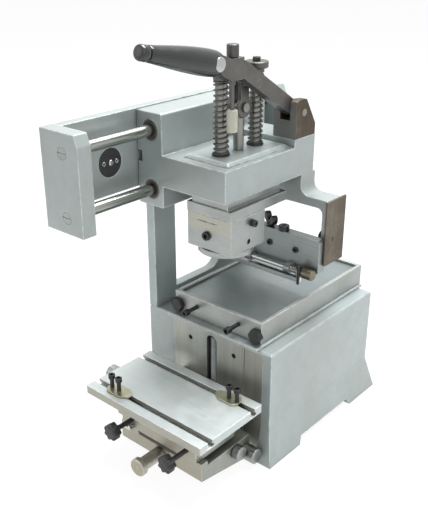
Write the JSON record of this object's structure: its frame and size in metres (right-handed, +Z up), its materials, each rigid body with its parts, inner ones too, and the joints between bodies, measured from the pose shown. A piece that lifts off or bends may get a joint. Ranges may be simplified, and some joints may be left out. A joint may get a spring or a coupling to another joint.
{
  "type": "pad printing machine",
  "caption": "Desktop hand-lever pad printing machine: carriage sliding on guide rods, sprung pad head, ink tray with doctor blade, and a knee worktable with cross slides and clamps.",
  "frame": {"origin": "middle of the machine's overall width and depth, on the bench it stands on", "axes": "+X along the worktable to the side away from the guide rods, +Y back from the operator, +Z up"},
  "size_m": [0.259, 0.447, 0.5937],
  "materials": {
    "blue_grey_paint": "satin enamel with a light texture",
    "polished_rod": "ground and polished",
    "dark_screw": "black oxide",
    "black_anodised": "matt black",
    "tray_steel": "ground, dull",
    "etched_plate": "lapped, bright",
    "machined_steel": "milled and ground",
    "lead_steel": "oiled",
    "bush_bronze": "plain bearing bronze",
    "brown_steel": "raw, oil browned",
    "spring_steel": "oiled",
    "dark_lever": "blackened",
    "black_grip": "gloss",
    "cream_nylon": "turned nylon",
    "brass_knob": "dull",
    "turned_aluminium": "turned",
    "black_knob": "moulded",
    "bright_table": "surface ground",
    "zinc_plated": "yellow zinc"
  },
  "bodies": {
    "frame": {"base_casting": "blue_grey_paint", "top_plate": "blue_grey_paint", "side_frame": "blue_grey_paint", "end_blocks": "blue_grey_paint", "guide_rods": "polished_rod", "rod_end_screws": "dark_screw", "dial_plate": "black_anodised", "dial_screw": "polished_rod", "ink_tray": "tray_steel", "printing_plate": "etched_plate", "tray_hex_bolts": "dark_screw", "plate_screws": "dark_screw", "guide_plate": "machined_steel", "guide_gibs": "machined_steel", "guide_screws": "dark_screw"},
    "carriage": {"carriage_casting": "blue_grey_paint", "rod_bushes": "bush_bronze", "head_plate": "blue_grey_paint", "wall_boss": "polished_rod", "leg_bar": "brown_steel", "carriage_cap_screws": "dark_screw", "fulcrum_block": "brown_steel", "lever_pin": "polished_rod", "blade_carrier": "machined_steel", "carrier_screws": "dark_screw", "doctor_blade": "polished_rod", "post_springs": "spring_steel"},
    "lever": {"lever_arm": "dark_lever", "grip": "black_grip", "lever_cross_pins": "polished_rod"},
    "stop": {"stop_screw": "dark_screw", "stop_foot": "cream_nylon"},
    "pad_head": {"guide_posts": "polished_rod", "push_rod": "polished_rod", "post_caps": "dark_lever", "cap_bolts": "dark_screw", "head_flange": "machined_steel", "pad_block": "machined_steel", "pad_block_screws": "dark_screw"},
    "link": {"link_plates": "dark_lever"},
    "turntable": {"pad_turntable": "machined_steel"},
    "flood_unit": {"flood_bar": "machined_steel", "flood_shaft": "polished_rod", "flood_knob": "brass_knob"},
    "wing_screw": {"wing_screw": "dark_screw"},
    "knee": {"knee": "machined_steel"},
    "cross_screw": {"cross_screw_knob": "turned_aluminium"},
    "height_lock": {"height_lock_knob": "turned_aluminium"},
    "knee_lock": {"knee_lock_knob": "turned_aluminium"},
    "saddle": {"saddle": "machined_steel"},
    "front_lock_left": {"front_knob_left": "black_knob"},
    "front_lock_right": {"front_knob_right": "black_knob"},
    "worktable": {"table_slide": "machined_steel", "table_top": "bright_table"},
    "table_screw": {"table_screw_knob": "dark_screw"},
    "clamp_left": {"clamp_plate_left": "zinc_plated", "clamp_screws_left": "dark_screw"},
    "clamp_right": {"clamp_plate_right": "zinc_plated", "clamp_screws_right": "dark_screw"},
    "z_screw": {"z_lead_screw": "lead_steel"}
  },
  "joints": [
    {"name": "carriage_slide", "type": "slide", "parent": "frame", "child": "carriage", "axis": [0, -1, 0], "range_m": [-0.022, 0.12]},
    {"name": "lever_swing", "type": "hinge", "parent": "carriage", "child": "lever", "pos_m": [0.0363, 0.0905, 0.473], "axis": [1, 0, 0], "range_deg": [0, 15]},
    {"name": "pad_press", "type": "slide", "parent": "carriage", "child": "pad_head", "axis": [0, 0, -1], "range_m": [0, 0.0232], "stiffness_N_per_m": 4000, "springref_m": -0.02, "deforming": ["post_springs"]},
    {"name": "link_swing", "type": "hinge", "parent": "pad_head", "child": "link", "pos_m": [0.0115, 0.002, 0.49], "axis": [1, 0, 0], "range_deg": [0, 17.6]},
    {"name": "stop_adjust", "type": "slide", "parent": "lever", "child": "stop", "axis": [0, 0, 1], "range_m": [0, 0.012]},
    {"name": "turntable_turn", "type": "hinge", "parent": "pad_head", "child": "turntable", "pos_m": [0.0115, -0.022, 0.3], "axis": [0, 0, 1], "continuous": true},
    {"name": "flood_tilt", "type": "hinge", "parent": "carriage", "child": "flood_unit", "pos_m": [0.0115, 0.0655, 0.249], "axis": [1, 0, 0], "range_deg": [-25, 10]},
    {"name": "wing_turn", "type": "hinge", "parent": "carriage", "child": "wing_screw", "pos_m": [0.0105, 0.0822, 0.2985], "axis": [0, 0, 1], "continuous": true},
    {"name": "knee_lift", "type": "slide", "parent": "frame", "child": "knee", "axis": [0, 0, 1], "range_m": [0, 0.04]},
    {"name": "z_screw_turn", "type": "hinge", "parent": "frame", "child": "z_screw", "pos_m": [0.0085, -0.0415, 0.08], "axis": [0, 0, 1], "range_deg": [-4900, 0]},
    {"name": "height_lock_turn", "type": "hinge", "parent": "knee", "child": "height_lock", "pos_m": [0.0965, -0.0725, 0.02], "axis": [1, 0, 0], "range_deg": [0, 360]},
    {"name": "knee_lock_turn", "type": "hinge", "parent": "knee", "child": "knee_lock", "pos_m": [0.0965, -0.0935, 0.032], "axis": [1, 0, 0], "range_deg": [0, 360]},
    {"name": "table_y", "type": "slide", "parent": "knee", "child": "saddle", "axis": [0, 1, 0], "range_m": [-0.01, 0.01]},
    {"name": "cross_screw_turn", "type": "hinge", "parent": "knee", "child": "cross_screw", "pos_m": [0.0135, -0.1795, 0.031], "axis": [0, 1, 0], "range_deg": [-1210, 1210]},
    {"name": "front_lock_left_turn", "type": "hinge", "parent": "saddle", "child": "front_lock_left", "pos_m": [-0.0385, -0.1995, 0.0635], "axis": [0, 1, 0], "range_deg": [-360, 0]},
    {"name": "front_lock_right_turn", "type": "hinge", "parent": "saddle", "child": "front_lock_right", "pos_m": [0.0665, -0.1995, 0.0635], "axis": [0, 1, 0], "range_deg": [-360, 0]},
    {"name": "table_x", "type": "slide", "parent": "saddle", "child": "worktable", "axis": [1, 0, 0], "range_m": [-0.02, 0.02]},
    {"name": "table_screw_turn", "type": "hinge", "parent": "worktable", "child": "table_screw", "pos_m": [-0.1085, -0.1315, 0.09165], "axis": [1, 0, 0], "range_deg": [-2410, 2410]},
    {"name": "clamp_left_slide", "type": "slide", "parent": "worktable", "child": "clamp_left", "axis": [1, 0, 0], "range_m": [-0.02, 0.12]},
    {"name": "clamp_right_slide", "type": "slide", "parent": "worktable", "child": "clamp_right", "axis": [1, 0, 0], "range_m": [-0.12, 0.02]}
  ],
  "couplings": [
    {"joint": "pad_press", "follows": "lever_swing", "m_per_rad": 0.088167},
    {"joint": "link_swing", "follows": "lever_swing", "ratio": 1.162},
    {"joint": "z_screw_turn", "follows": "knee_lift", "rad_per_m": -2094.4},
    {"joint": "cross_screw_turn", "follows": "table_y", "rad_per_m": -2094.4},
    {"joint": "table_screw_turn", "follows": "table_x", "rad_per_m": 2094.4}
  ]
}
